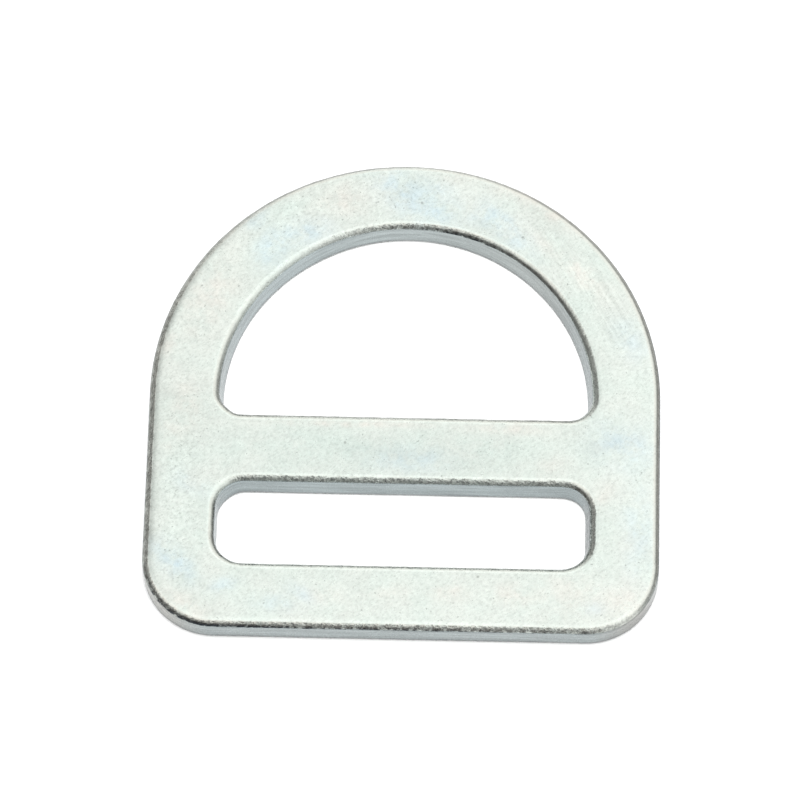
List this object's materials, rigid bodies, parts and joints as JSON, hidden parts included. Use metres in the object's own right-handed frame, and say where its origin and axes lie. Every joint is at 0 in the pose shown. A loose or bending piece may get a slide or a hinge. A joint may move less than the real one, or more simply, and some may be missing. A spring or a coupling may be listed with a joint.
{
  "type": "d ring",
  "caption": "Flat stamped steel D ring with a webbing slot below its D-shaped opening, zinc plated, with rolled edges.",
  "frame": {"origin": "under the middle of the ring's overall length and width, on the plain underside", "axes": "+X along the webbing slot, +Y from the slot towards the round end, +Z out of the face with the rolled edges"},
  "size_m": [0.0632, 0.0626, 0.004],
  "materials": {
    "zinc_plated_steel": "blue-white zinc plating over stamped steel, satin with a fine orange-peel grain"
  },
  "bodies": {
    "root": {"d_ring": "zinc_plated_steel"}
  },
  "joints": []
}
